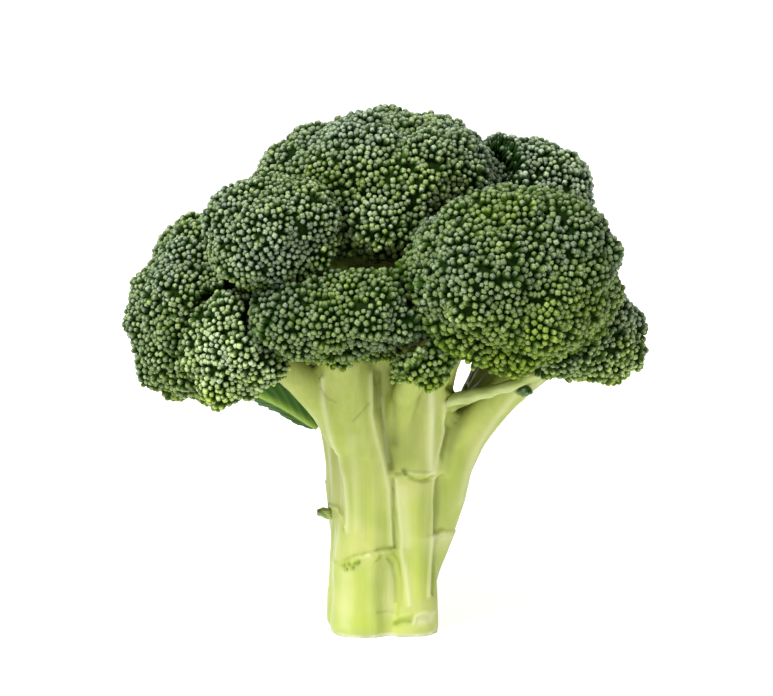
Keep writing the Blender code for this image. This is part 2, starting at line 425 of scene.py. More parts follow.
skin.line([(20.3, 68), (20.1, 60.7), (18.1, 52.7), (16.8, 44.7), (16.4, 33.6), (15.9, 20.8), (15.5, 9.7)],
          0.7, rise=-0.8, olive=0.55)
skin.line([(19, 68), (18.6, 60), (16.8, 52), (15.5, 44.7), (15.2, 33.6), (14.7, 20.8), (14.2, 9)],
          0.7, rise=0.5, pale=0.7)
skin.line([(44, 74), (37, 66), (30, 56), (26, 47), (24, 38)], 1.5, rise=0.3, pale=0.55)
skin.line([(24, 68), (22.5, 62), (20.8, 55)], 2.4, olive=0.45, brown=0.10)
skin.line([(30, 69), (26, 60), (22, 50), (20, 42)], 2.2, lime=0.45)
# Painted shadow, olive and brown, on the web between the right branches where the ledges would catch the
# lamp.
skin.line([(33, 80), (29, 75), (25, 70)], 3.0, olive=0.8, brown=0.2)
skin.line([(30, 83), (26, 77), (23.5, 72)], 3.0, olive=0.8, brown=0.2)
skin.line([(-9.5, 58), (-8.5, 45), (-7.5, 30)], 1.8, rise=0.5, pale=0.25)
skin.line([(-5.5, 50), (-4.5, 38), (-4, 26)], 1.6, rise=-0.35, lime=0.35)
skin.line([(10.6, 38), (11.0, 24), (11.2, 9)], 2.0, rise=0.3, lime=0.5)
skin.line([(20.4, 73.0), (22.4, 72.4), (24.6, 73.8)], 1.1, rise=-1.2, green=0.8, olive=0.8)
skin.line([(20.6, 69.6), (22.4, 69.0), (24.6, 69.4)], 0.9, rise=-0.8, olive=0.9)
# Brown veins near the top of the left rib.
skin.line([(-19.2, 73), (-17.0, 69.6), (-14.6, 68.6)], 0.35, rise=-0.2, brown=0.55)
skin.line([(-9.2, 62.7), (-7.0, 65.0), (-4.4, 68.3)], 0.35, rise=-0.2, brown=0.5)
# Ragged scar of a leaf snapped off low on the left rib, and the plate under it.
skin.line([(-12.2, 18.8), (-11.4, 20.2), (-6.2, 21.6), (-1.4, 22.4), (2.2, 23.2)],
          7.5, rise=0.7, plate=True)
skin.line([(-12.0, 19.6), (-9.0, 21.0), (-6.2, 21.6), (-1.4, 23.0), (2.4, 23.4)],
          0.45, rise=-0.45, lime=0.7, olive=0.25)
SCAR_TEETH = ((-11.8, 18.3), (-11.0, 17.4), (-10.2, 18.9), (-9.3, 17.8), (-8.5, 19.2), (-7.6, 19.4))
for across, high in SCAR_TEETH:
    tooth = [(across - 0.3, high - 0.4), (across + 0.2, high + 0.5)]
    notch = [(across + 0.35, high + 0.1), (across + 0.45, high - 0.5)]
    skin.line(tooth, 0.5, rise=0.7, lime=1.0, green=0.25)
    skin.line(notch, 0.3, rise=-0.4, green=0.8)
skin.line([(-2.6, 19.8), (-1.7, 20.6)], 0.6, rise=0.8, lime=1.0, green=0.35)
skin.line([(-6.4, 20.6), (-4.0, 21.4), (-1.0, 22.2), (1.6, 22.6)], 0.5, rise=0.35, pale=0.4)
skin.line([(0.2, 21.8), (2.2, 21.8), (4.2, 19.4), (5.2, 15.0), (5.3, 9.0), (4.6, 3.0)],
          0.6, rise=0.55, lime=0.7, green=0.1)
skin.line([(1.2, 20.4), (2.8, 18.6), (3.9, 14.0), (4.0, 7.0)], 0.5, rise=-0.4, olive=0.4)
skin.line([(2.0, 16), (2.2, 10), (2.0, 4)], 1.6, pale=0.4)
# Crescent scar on the right rib with its little green stub, and the plate under it.
skin.line([(6.6, 46.4), (9, 45.0), (12.1, 44.0), (14.5, 44.6), (15.7, 46.2)], 6.5, rise=0.3, plate=True)
skin.line([(7.6, 46.2), (9.0, 45.2), (11.4, 44.4), (14.0, 44.8), (15.5, 46.6)],
          0.45, rise=-0.45, lime=0.5, olive=0.35)
skin.line([(9.4, 45.9), (11.6, 45.3), (14.2, 45.7)], 0.8, rise=0.3, lime=0.9)
skin.line([(7.8, 47.0), (10.6, 46.6), (13.2, 46.4), (15.4, 46.8)], 0.45, rise=0.5, pale=0.6)
skin.line([(6.5, 47.3), (7.1, 46.5)], 0.55, rise=1.1, green=1.0, brown=0.3)
skin.line([(4.0, 46.6), (6.2, 46.8)], 0.35, rise=-0.2, olive=0.5)
# Scar on the right branch with its pale plate.
skin.line([(16.4, 28.2), (18.2, 29.0), (22.6, 29.2)], 5.0, rise=0.6, plate=True, pale=0.8)
skin.line([(16.6, 28.9), (18.4, 29.5), (22.6, 29.6)], 0.6, rise=-0.4, lime=1.0, olive=0.2)
skin.line([(17.0, 27.9), (19.6, 28.4), (22.4, 28.4)], 0.9, lime=0.7)
skin.line([(16.5, 24.5), (17.4, 26.8), (21.4, 27.8)], 0.45, rise=0.3, lime=0.8)
# Leaf base behind the left rib.
skin.line([(-16.6, 36.6), (-14.0, 36.0), (-12.6, 33.4), (-11.6, 30.2)], 0.7, rise=0.6, lime=0.5, pale=0.2)
# The foot: a trimmed pale corner, a bruised green notch beside it and paler edges.
skin.line([(11.0, 1.2), (13.0, 1.5), (15.2, 1.9)], 1.5, rise=-0.4, pale=1.0)
skin.line([(11.8, 1.4), (14.0, 1.7)], 0.8, brown=0.14)
skin.line([(9.6, 0.2), (10.2, 2.6), (12.8, 3.6), (16.0, 4.0)], 0.4, rise=0.45, pale=0.9)
skin.line([(3.4, 0.4), (5.6, 2.0), (9.0, 2.6)], 0.5, rise=0.45, lime=0.9, green=0.15)
skin.line([(4.0, 0.2), (6.4, 0.9), (8.6, 0.9)], 0.8, rise=-0.3, green=0.55, lime=0.4)
skin.line([(-1.8, 3.6), (1.2, 3.9), (3.4, 3.6)], 0.4, rise=-0.2, olive=0.4)
skin.line([(-16.8, 10), (-17.4, 4), (-17.0, 1)], 1.6, rise=0.3, pale=0.35)
skin.line([(-11.5, 15), (-11.8, 8), (-12, 0)], 2.0, pale=0.4)
skin.line([(-7.4, 16), (-6.8, 8), (-6.4, 0)], 1.9, rise=-0.2, lime=0.55)
skin.line([(-14, 1.5), (-6, 0.4), (2, -0.6), (6, -0.4)], 1.2, lime=0.4)
# The sides and the back carry ribs and the scars of other leaves, placed by the turn in degrees
# that they are looked at from.
BACK_SCARS = ((104, 2, 44, 3.4), (133, -4, 21, 4.2), (160, 5, 52, 3.0), (196, -3, 30, 4.0),
              (232, 3, 40, 3.2))
for turn, across, high, wide in BACK_SCARS:
    arc = [(across + wide * t, high - 1.5 + 1.8 * t ** 2) for t in (-1.0, -0.5, 0.0, 0.5, 1.0)]
    groove = [(x, y + 0.5) for x, y in arc]
    skin.line(arc, 4.0, rise=0.45, turn=turn, plate=True, pale=0.15)
    skin.line(groove, 0.5, rise=-0.4, turn=turn, lime=0.7, olive=0.25)
BACK_RIBS = ((105, 0, 48), (131, -3, 54), (157, 2, 66), (183, -1, 66), (209, 3, 64), (235, 0, 56))
for turn, across, top in BACK_RIBS:
    sway = 2.0 * math.sin(turn)
    ridge = [(across + sway, top), (across, 40), (across - sway / 2, 4)]
    groove = [(across + 5, top), (across + 4, 40), (across + 5, 4)]
    streak = [(across - 4, 60), (across - 3, 34), (across - 4, 6)]
    skin.line(ridge, 1.3, rise=0.6, turn=turn, pale=0.45)
    skin.line(groove, 1.0, rise=-0.6, turn=turn, olive=0.3)
    skin.line(streak, 1.8, turn=turn, lime=0.5)
skin.finish()

# How strongly the bands, the fibres and the darker green of the upper stalk show, and the heights
# between which the upper stalk and the cut face begin.
BAND_SHARE = 0.30
FIBRE_SHARE = 0.22
UPPER_SHARE = 0.8
UPPER_FROM, UPPER_TO = 0.040, 0.082
CUT_FROM, CUT_TO = 0.0016, 0.0006

stalk_finish = Finish("stalk_skin", 0.4)
stalk_finish.shader.inputs["Specular IOR Level"].default_value = 0.22
height = stalk_finish.node("ShaderNodeSeparateXYZ", {}, {0: stalk_finish.place()}, output=2)
cloudy = stalk_finish.between(stalk_finish.noise(70.0, 2.0), 0.38, 0.62)
fibres = stalk_finish.noise(900.0, 3.0, stalk_finish.stretched(1.0, 1.0, 0.05))
fibres = stalk_finish.between(fibres, 0.30, 0.70)
bands = stalk_finish.noise(200.0, 2.0, stalk_finish.stretched(1.0, 1.0, 0.10))
bands = stalk_finish.between(bands, 0.35, 0.65)
upper = stalk_finish.between(height, UPPER_FROM, UPPER_TO) * UPPER_SHARE
stalk_colour = stalk_finish.blend(cloudy, rgb(0.312, 0.380, 0.068), rgb(0.410, 0.436, 0.124))
stalk_colour = stalk_finish.blend(upper, stalk_colour, rgb(0.255, 0.296, 0.050))
stalk_colour = stalk_finish.blend(bands * BAND_SHARE, stalk_colour, rgb(0.24, 0.31, 0.045))
stalk_colour = stalk_finish.blend(fibres * FIBRE_SHARE, stalk_colour, rgb(0.41, 0.44, 0.17))
for name, colour in MARK_COLOURS.items():
    stalk_colour = stalk_finish.blend(stalk_finish.attribute(name), stalk_colour, colour)
cut_rings = stalk_finish.between(stalk_finish.noise(240.0, 4.0), 0.35, 0.65)
cut_colour = stalk_finish.blend(cut_rings, rgb(0.36, 0.39, 0.20), rgb(0.52, 0.52, 0.34))
on_cut = stalk_finish.between(height, CUT_FROM, CUT_TO)
stalk_finish.feed("Base Color", stalk_finish.blend(on_cut, stalk_colour, cut_colour))
stalk_finish.feed("Roughness", 0.34 + 0.18 * bands)
stalk_finish.relief(0.5 * fibres + bands, 0.00012)
link_piece("stalk_whole", stalk_mesh, stalk_finish.material, "stalk")

# --- Leaf -------------------------------------------------------------------
# One small leaf is left under the head on the left: a thin dark blade, slightly
# toothed, on a pale midrib that grows out of the stalk.
LEAF_ROOT = Vector((-0.0200, -0.0095, 0.0640))
LEAF_TIP = Vector((-0.0440, -0.0170, 0.0790))
LEAF_HALF_WIDTH = 0.0070
LEAF_THICKNESS = 0.0005
LEAF_VEINS = 7.0
LEAF_CUP = 0.0022
LEAF_ARCH = 0.0008
LEAF_RIPPLE = 0.0022
LEAF_GRID = (56, 28)
MIDRIB_HALF = 0.0011
MIDRIB_RISE = 0.0009
VEIN_DEPTH = 0.0003

leaf = bmesh.new()
rib_layer = leaf.verts.layers.float.new("rib")
vein_layer = leaf.verts.layers.float.new("vein")
bmesh.ops.create_grid(leaf, x_segments=LEAF_GRID[0], y_segments=LEAF_GRID[1], size=1.0)
along = (LEAF_TIP - LEAF_ROOT).normalized()
leaf_up = along.cross(Vector((0.25, 0.75, 0.60))).normalized()
leaf_face = leaf_up.cross(along)
for vert in leaf.verts:
    far = (vert.co.x + 1.0) / 2.0
    side = vert.co.y
    outline = math.sin(math.pi * (0.08 + 0.90 * far)) ** 0.8
    teeth = 1.0 + 0.07 * math.sin(46.0 * far) + 0.04 * math.sin(97.0 * far + side)
    half = LEAF_HALF_WIDTH * (0.16 + 0.84 * outline) * (1.0 + (teeth - 1.0) * abs(side) ** 3)
    rib = math.exp(-(side * half / MIDRIB_HALF) ** 2)
    vein = math.cos(math.pi * LEAF_VEINS * (far - 0.45 * abs(side))) ** 8 * (1.0 - 0.5 * abs(side))
    ripple = noise.noise(Vector((far * 3.0, side * 1.5, 0.3))) * LEAF_RIPPLE * abs(side)
    cup = -LEAF_CUP * side ** 2 - LEAF_ARCH * math.sin(math.pi * far)
    cup += MIDRIB_RISE * rib - VEIN_DEPTH * vein
    vert[rib_layer] = rib
    vert[vein_layer] = vein
    vert.co = LEAF_ROOT.lerp(LEAF_TIP, far) + leaf_up * half * side - leaf_face * (cup + ripple)
leaf_mesh = bpy.data.meshes.new("leaf_blade")
leaf.to_mesh(leaf_mesh)
leaf.free()
leaf_mesh = finished_copy(leaf_mesh, [("SOLIDIFY", {"thickness": LEAF_THICKNESS, "offset": 0.0})])
leaf_mesh.shade_smooth()
leaf_finish = Finish("leaf", 0.42)
leaf_finish.shader.inputs["Specular IOR Level"].default_value = 0.1
leaf_mottle = leaf_finish.noise(320.0, 4.0)
leaf_green = leaf_finish.blend(leaf_mottle, rgb(0.006, 0.034, 0.002), rgb(0.026, 0.082, 0.004))
leaf_green = leaf_finish.blend(leaf_finish.attribute("vein") * 0.6, leaf_green, rgb(0.08, 0.18, 0.015))
leaf_green = leaf_finish.blend(leaf_finish.attribute("rib"), leaf_green, rgb(0.21, 0.32, 0.05))
leaf_finish.feed("Base Color", leaf_green)
leaf_finish.feed("Roughness", 0.36 + 0.2 * leaf_finish.noise(500.0, 2.0))
leaf_finish.relief(leaf_finish.noise(1400.0, 3.0), 0.00015)
link_piece("leaf_blade", leaf_mesh, leaf_finish.material, "left_leaf")

# --- Leaf remnants ------------------------------------------------------------
# The stalk of a torn leaf arches off the right side under the head, and a bract
# and a snapped stub are left on the sides, their tips dried dark green.

# Each remnant: its piece's name and slot, the size of its faces, the width and height of its
# lumps, and where its green end and its dried end are.
REMNANTS = {
    "right_leaf_stalk": ("leaf_stalk", "stalk_skin", 0.0004, 0.0040, 0.0005,
                         (0.018, -0.016, 0.073), (0.090, -0.030, 0.097)),
    "left_leaf_stub": ("leaf_stub", "leaf", 0.0003, 0.0011, 0.0006,
                       (-0.0155, 0.0, 0.035), (-0.0222, -0.003, 0.0364)),
    "right_bract": ("bract", "leaf", 0.0003, 0.0011, 0.0007,
                    (0.0375, -0.012, 0.0768), (0.043, -0.015, 0.0764)),
}


def raised(mesh, height_at):
    """The mesh as a bmesh, each vertex moved along its normal by the height at its place."""
    shape = bmesh.new()
    shape.from_mesh(mesh)
    shape.normal_update()
    moves = [(vert, vert.normal * height_at(vert.co)) for vert in shape.verts]
    for vert, move in moves:
        vert.co += move
    return shape


def torn(node, grain, width, height, root, tip):
    """A remnant's solid with a torn, uneven skin that is dried towards its tip."""
    way = Vector(tip) - Vector(root)
    mesh = remeshed(merged_copy(node), grain, 4)
    rough = raised(mesh, lambda place: noise.noise(place / width) * height)
    rough.to_mesh(mesh)
    rough.free()
    far = [(vert.co - Vector(root)).dot(way) / way.length_squared for vert in mesh.vertices]
    store(mesh, "dried", np.clip(far, 0.0, 1.0))
    mesh.shade_smooth()
    return mesh


remnant_finish = Finish("leaf_stalk", 0.4)
strands = remnant_finish.noise(420.0, 3.0, remnant_finish.stretched(0.15, 1.0, 1.0))
remnant_green = remnant_finish.blend(
    remnant_finish.between(strands, 0.35, 0.65), rgb(0.24, 0.32, 0.055), rgb(0.38, 0.43, 0.15))
blotches = remnant_finish.between(remnant_finish.noise(700.0, 3.0), 0.40, 0.60)
dried_green = remnant_finish.blend(blotches, rgb(0.020, 0.055, 0.012), rgb(0.09, 0.17, 0.03))
is_dried = remnant_finish.between(remnant_finish.attribute("dried"), 0.45, 0.75)
remnant_finish.feed("Base Color", remnant_finish.blend(is_dried, remnant_green, dried_green))
remnant_finish.relief(strands, 0.0002)
for node, (name, slot, *build) in REMNANTS.items():
    link_piece(name, torn(node, *build), remnant_finish.material, node)

# --- Florets: the imported stems ------------------------------------------------
# Under the buds each floret is a dome of fine stems pressed together in clumps,
# near-black between the buds as painted shade.  Below its rim the stems are bare, pale and ribbed.

# Each floret: the way it faces, where its branch ends in it, and the spacing of its buds.
FLORETS = {
    "floret_front_right": ((0.25, -0.62, 0.60), (0.030, -0.028, 0.106), 0.00190),
    "floret_upper_left": ((-0.50, -0.55, 0.65), (-0.027, -0.016, 0.112), 0.00170),
    "floret_front": ((0.00, -0.92, 0.35), (-0.012, -0.022, 0.090), 0.00182),
    "floret_front_left": ((-0.55, -0.80, -0.05), (-0.032, -0.021, 0.087), 0.00176),
    "floret_lower_front": ((0.10, -0.90, -0.10), (0.010, -0.033, 0.085), 0.00190),
    "floret_crown": ((0.00, -0.05, 1.00), (0.002, 0.005, 0.118), 0.00183),
    "floret_back_right": ((0.32, -0.20, 0.92), (0.034, 0.016, 0.113), 0.00176),
    "floret_far_left": ((-0.94, -0.12, 0.28), (-0.043, -0.002, 0.095), 0.00172),
    "floret_right": ((0.97, -0.10, -0.20), (0.052, -0.006, 0.088), 0.00182),
    "floret_right_front": ((0.65, -0.60, -0.15), (0.051, -0.017, 0.090), 0.00185),
    "floret_back": ((0.00, 0.90, 0.40), (0.002, 0.033, 0.100), 0.00200),
    "floret_back_left": ((-0.62, 0.65, 0.30), (-0.028, 0.026, 0.094), 0.00200),
    "floret_back_low_right": ((0.66, 0.70, 0.15), (0.034, 0.027, 0.082), 0.00205),
    "floret_upper_back_left": ((-0.55, 0.45, 0.70), (-0.026, 0.018, 0.110), 0.00190),
}
CORE_GRAIN = 0.0012
CORE_INSET = 0.0017
LUMP_PITCH = 0.024
LUMP_RISE = 0.0042
CLUMP_SIZES = ((0.0125, 0.0032), (0.0052, 0.0012))
CLUMP_LEVEL = 0.42
RIM_SHARE = 0.16
BARE_TILT = 0.15
BARE_FADE = 0.004


def clump_at(place, pitch):
    """Nearest clump's centre, and how far out from it the place is, 0 to 1 at the clefts."""
    distances, centres = noise.voronoi(place / pitch)
    return centres[0] * pitch, min(distances[0] * 1.2 / (0.2 + distances[1]), 1.0)


def lumpy_rise(place):
    """How far a core swells at a place: broad lumps with two sizes of clumps on them."""
    rise = noise.noise(place / LUMP_PITCH) * LUMP_RISE
    for pitch, height in CLUMP_SIZES:
        rise += (CLUMP_LEVEL - clump_at(place, pitch)[1] ** 2) * height
    return rise


def rim_of(mesh, axis):
    """How far along its axis a floret's buds begin."""
    reach = [vert.co.dot(axis) for vert in mesh.vertices]
    return min(reach) + RIM_SHARE * (max(reach) - min(reach))


def floret_core(node):
    """A floret's solid, a little smaller and clumped."""
    mesh = remeshed(merged_copy(node), CORE_GRAIN, 4)
    core = raised(mesh, lambda place: lumpy_rise(place) - CORE_INSET)
    bmesh.ops.smooth_vert(core, verts=core.verts, factor=0.5,
                          use_axis_x=True, use_axis_y=True, use_axis_z=True)
    core.to_mesh(mesh)
    core.free()
    mesh.shade_smooth()
    return mesh


core_finish = Finish("packed_stems", 0.8)
core_finish.shader.inputs["Specular IOR Level"].default_value = 0.02
# Painted shade: the packed stems under the buds are near-black, as the deep gaps look.
core_painted_shade = core_finish.noise(900.0, 2.0)
core_painted_shade = core_finish.blend(core_painted_shade, rgb(0.003, 0.010, 0.001), rgb(0.010, 0.022, 0.003))
core_bare = core_finish.noise(500.0, 2.0)
core_bare = core_finish.blend(core_bare, rgb(0.05, 0.09, 0.012), rgb(0.19, 0.26, 0.05))
core_finish.feed("Base Color", core_finish.blend(core_finish.attribute("bare"), core_painted_shade, core_bare))

cores = {}
trees = {}
rims = {}
for node, (facing, _, _) in FLORETS.items():
    mesh = floret_core(node)
    axis = Vector(facing).normalized()
    cores[node] = mesh
    trees[node] = tree_of(mesh)
    rims[node] = rim_of(mesh, axis)
    below = [(rims[node] - vert.co.dot(axis)) / BARE_FADE * (vert.normal.z < BARE_TILT)
             for vert in mesh.vertices]
    store(mesh, "bare", np.clip(below, 0.0, 1.0))
    link_piece(node + "_stems", mesh, core_finish.material, node)

# --- Florets: the stems below the rims ----------------------------------------
# From each branch tip a fan of pale stems forks out along the underside of the
# floret and carries its rim.
STEM_PITCH = 0.0055
STEM_THICK = 0.0019
STEM_THIN = 0.0008
# A stem's thinning at its five points, and how far it sets off and ends past its floret's places.
STEM_TAPER = (0.0, 0.2, 0.4, 0.8, 1.0)
STEM_SINK = 0.003
STEM_SPREAD = 0.0015
STEM_LAP = 0.002
OPEN_WIDTH = 0.02
UP = Vector((0.0, 0.0, 1.0))


def buried(place, home):
    """Whether a place is inside a floret other than its own."""
    for node, tree in trees.items():
        if node != home:
            _, normal, _, _ = tree.ray_cast(place, UP)
            if normal is not None and normal.z > 0.0:
                return True
    return False


stem_finish = Finish("bare_stems", 0.5)
stem_finish.feed("Base Color", stem_finish.blend(
    stem_finish.noise(260.0, 3.0), rgb(0.17, 0.26, 0.04), rgb(0.42, 0.50, 0.14)))

for number, (node, (facing, root, _)) in enumerate(FLORETS.items()):
    axis = Vector(facing).normalized()
    root = Vector(root)
    tree = trees[node]
    rng = np.random.default_rng(500 + number)
    side = axis.orthogonal().normalized()
    middle = sum((vert.co for vert in cores[node].vertices), Vector()) / len(cores[node].vertices)
    middle += axis * (rims[node] - middle.dot(axis))
    width = tree.ray_cast(middle, side)[3] or OPEN_WIDTH
    count = 2 * int(math.pi * width / STEM_PITCH)
    stems = bpy.data.curves.new(node + "_bare_stems", "CURVE")
    stems.dimensions = "3D"
    stems.bevel_depth = 1.0
    stems.bevel_resolution = 1
    stems.resolution_u = 4
    stems.use_fill_caps = True
    for k in range(count):
        # Stems fork in pairs: both of a pair set off the same way and end on either side of it.
        fork = Matrix.Rotation(math.tau * (2 * (k // 2) + 0.5) / count, 3, axis) @ side
        out = Matrix.Rotation(math.tau * (k + rng.uniform(-0.25, 0.25)) / count, 3, axis) @ side
        rim_place = tree.ray_cast(middle, out)[0]
        fork_place = tree.ray_cast(middle, fork)[0]
        if rim_place is None or fork_place is None or buried(rim_place + out * 0.001, node):
            continue
        start = root - axis * STEM_SINK + fork * STEM_SPREAD
        first = tree.find_nearest(start.lerp(fork_place - axis * 2 * STEM_LAP, 0.40))[0]
        second = tree.find_nearest(start.lerp(rim_place - axis * STEM_LAP, 0.75))[0]
        points = [start, start.lerp(first, 0.5), first, second, rim_place + axis * STEM_LAP]
        spline = stems.splines.new("NURBS")
        spline.points.add(len(points) - 1)
        spline.order_u = 3
        spline.use_endpoint_u = True
        for point, place, share in zip(spline.points, points, STEM_TAPER):
            point.co = (*place, 1.0)
            point.radius = STEM_THICK + (STEM_THIN - STEM_THICK) * share
    holder = bpy.data.objects.new("holder", stems)
    bpy.context.collection.objects.link(holder)
    graph = bpy.context.evaluated_depsgraph_get()
    stem_mesh = bpy.data.meshes.new_from_object(holder.evaluated_get(graph))
    bpy.data.objects.remove(holder)
    if len(stem_mesh.vertices):
        stem_mesh.shade_smooth()
        link_piece(node + "_bare_stems", stem_mesh, stem_finish.material)

# --- Florets: the buds --------------------------------------------------------
# Thousands of closed flower buds, each an egg of four sepals on a short stem,
# stand side by side on the clumps.

# A bud's rings from under its tip down to its foot: (radius, height), how pale each ring is, partly painted
# highlight, how dark the seams between sepals are there, and how far the seams are drawn in.
BUD_RINGS = ((0.52, 0.82), (0.92, 0.38), (0.95, -0.30), (0.34, -1.35))
BUD_TIP = 0.92
RING_TIPS = (1.0, 0.26, 0.0, 0.0)
RING_SEAMS = (0.60, 0.35, 0.0, 0.0)
PEAK_TIP = 0.60
PEAK_SEAM = 0.3
PINCH = (0.80, 0.93, 1.0, 1.0)
SEPALS = 4
# On its square of the baked picture a bud is spread out flat, its foot in a corner.
RING_SPREADS = (0.12, 0.26, 0.38, 0.46)
FOOT_CENTRE = 0.07
FOOT_SPREAD = 0.05
# A bud's radius against its spacing, with a random share of it, and its height against its radius.
BUD_FILL = 0.58
BUD_SHARES = (0.76, 1.10)
BUD_TALLS = (1.05, 1.40)
# How far it stands off the core, how much further at the rim, and how deep its foot then goes.
BUD_STANDS = (0.0003, 0.0013)
RIM_STAND = 0.0016
FOOT_SINK = 0.6
# The rim's fringe is this wide, or this share of a low floret's height.
FRINGE_REACH = 0.014
FRINGE_SHARE = 0.35
# Leans: out of the clump, at random, up along the floret, and out of its folds.
LEAN_OUT = 0.35
LEAN_RANDOM = 0.14
LEAN_UP = 0.25
LEAN_UNFOLD = 2.0
# Buds are missing from the clefts between clumps and where another floret lies on them.
CLEFT_LOSS = 0.15
BUD_ROOM = 0.0022
# Florets this close together shade each other's buds.
# Buds this close to another floret get painted shade, darker the closer they are.
NOOK = 0.007
# How yellow the buds of single florets are against the rest, and how much paler or darker painted light
# makes them.
WARMTH = {
    "floret_front_left": 0.09,
    "floret_front": 0.18,
    "floret_lower_front": 0.38,
    "floret_front_right": 0.19,
    "floret_right": 0.10,
    "floret_right_front": 0.15,
    "floret_back_low_right": 0.15,
}
# Painted light per floret: the buds of some florets are painted paler and others darker, as the light falls
# on them.
FLORET_PAINTED_LIGHT = {
    "floret_crown": 1.08,
    "floret_upper_left": 1.04,
    "floret_front_left": 1.60,
    "floret_front": 0.72,
    "floret_front_right": 0.78,
    "floret_far_left": 1.02,
    "floret_right": 1.35,
    "floret_right_front": 1.30,
    "floret_back_right": 1.40,
}


def bud_template():
    """One bud of unit radius around the origin, tip up."""
    bud = bmesh.new()
    tip_layer = bud.verts.layers.float.new("tip")
    seam_layer = bud.verts.layers.float.new("seam")
    sides = SEPALS * 2
    bmesh.ops.create_circle(bud, cap_ends=True, segments=sides, radius=BUD_RINGS[-1][0])
    bmesh.ops.translate(bud, verts=bud.verts, vec=(0, 0, BUD_RINGS[-1][1]))
    ring = list(bud.edges)
    spreads = {vert: RING_SPREADS[-1] for vert in bud.verts}
    for level in (2, 1, 0):
        grown = bmesh.ops.extrude_edge_only(bud, edges=ring)["geom"]
        verts = [item for item in grown if isinstance(item, bmesh.types.BMVert)]
        ring = [item for item in grown if isinstance(item, bmesh.types.BMEdge)]
        radius, height = BUD_RINGS[level]
        for vert in verts:
            around = Vector((vert.co.x, vert.co.y, 0.0)).normalized()
            step = round(math.atan2(around.y, around.x) / (math.tau / sides))
            pinch = PINCH[level] if step % 2 else 1.0
            vert.co = around * radius * pinch + Vector((0, 0, height))
            spreads[vert] = RING_SPREADS[level]
            vert[tip_layer] = RING_TIPS[level]
            vert[seam_layer] = RING_SEAMS[level] if step % 2 else 0.0
    top = bmesh.ops.contextual_create(bud, geom=ring)["faces"]
    peak = bmesh.ops.poke(bud, faces=top)["verts"][0]
    peak.co = Vector((0, 0, BUD_TIP))
    peak[tip_layer] = PEAK_TIP
    peak[seam_layer] = PEAK_SEAM
    bmesh.ops.recalc_face_normals(bud, faces=bud.faces)
    baked = bud.loops.layers.uv.new("OFBake")
    for face in bud.faces:
        is_foot = len(face.verts) > 4
        centre = FOOT_CENTRE if is_foot else 0.5
        for loop in face.loops:
            spread = FOOT_SPREAD if is_foot else spreads.get(loop.vert, 0.0)
            around = loop.vert.co.xy.normalized() if spread else Vector((0.0, 0.0))
            loop[baked].uv = Vector((centre, centre)) + around * spread
    mesh = bpy.data.meshes.new("bud")
    bud.to_mesh(mesh)
    bud.free()
    return mesh


# Buds are first thrown at random, closer than their spacing, and then pushed apart.
THROWS = 9
THROWN_SPACING = 0.72
PUSH = 0.45
PUSH_ROUNDS = 4


def scatter(mesh, spacing, seed):
    """Places on the mesh no closer together than the spacing, nearly as many as fit."""
    rng = np.random.default_rng(seed)
    mesh.calc_loop_triangles()
    points = np.empty(len(mesh.vertices) * 3)
    mesh.vertices.foreach_get("co", points)
    points = points.reshape(-1, 3)
    corners = np.empty(len(mesh.loop_triangles) * 3, int)
    mesh.loop_triangles.foreach_get("vertices", corners)
    a, b, c = (points[corners.reshape(-1, 3)[:, k]] for k in range(3))
    area = np.linalg.norm(np.cross(b - a, c - a), axis=1) / 2
    tries = int(area.sum() / spacing ** 2 * THROWS)
    face = rng.choice(len(area), tries, p=area / area.sum())
    u, v = rng.random((2, tries, 1))
    flip = u + v > 1
    u, v = np.where(flip, 1 - u, u), np.where(flip, 1 - v, v)
    candidates = a[face] + u * (b - a)[face] + v * (c - a)[face]
    homes = np.floor(candidates / spacing).astype(int)
    cells = {}
    kept = []
    for (i, j, k), (x, y, z) in zip(homes.tolist(), candidates.tolist()):
        near = (cells.get((i + a, j + b, k + c), ())
                for a in (-1, 0, 1) for b in (-1, 0, 1) for c in (-1, 0, 1))
        if all((x - p) ** 2 + (y - q) ** 2 + (z - r) ** 2 > spacing ** 2
               for group in near for p, q, r in group):
            cells.setdefault((i, j, k), []).append((x, y, z))
            kept.append(Vector((x, y, z)))
    return kept


def evened(spots, tree, pitch):
    """The places pushed apart until their spacing is nearly regular."""
    for _ in range(PUSH_ROUNDS):
        finder = kdtree.KDTree(len(spots))
        for index, spot in enumerate(spots):
            finder.insert(spot, index)
        finder.balance()
        moved = []
        for spot in spots:
            push = Vector()
            for other, _, gap in finder.find_range(spot, pitch):
                if gap > 0.0:
                    push += (spot - other) * (PUSH * (pitch - gap) / gap)
            moved.append(tree.find_nearest(spot + push * 0.5)[0])
        spots = moved
    return spots


bud_finish = Finish("buds", 0.5)
bud_finish.shader.inputs["Specular IOR Level"].default_value = 0.08
yellowness = bud_finish.attribute("tint")
# Bud sides are near-black, partly their darker green and partly painted shade; crests are pale, partly the
# tips' waxy bloom and partly a painted highlight.
bud_side = bud_finish.blend(yellowness, rgb(0.005, 0.021, 0.002), rgb(0.026, 0.068, 0.001))
crest = bud_finish.blend(yellowness, rgb(0.40, 0.50, 0.34), rgb(0.44, 0.56, 0.06))
crest_highlight_share = bud_finish.attribute("tip") - 0.6 * bud_finish.attribute("seam")
bud_colour = bud_finish.blend(crest_highlight_share * bud_finish.attribute("shade"), bud_side, crest)
bare_stem = bud_finish.attribute("stem") * bud_finish.between(yellowness, 0.45, 1.0)
bud_colour = bud_finish.blend(bare_stem, bud_colour, rgb(0.42, 0.55, 0.12))
bud_finish.feed("Base Color", bud_colour)


def clamped(value):
    """The value kept from 0 to 1."""
    return min(max(value, 0.0), 1.0)


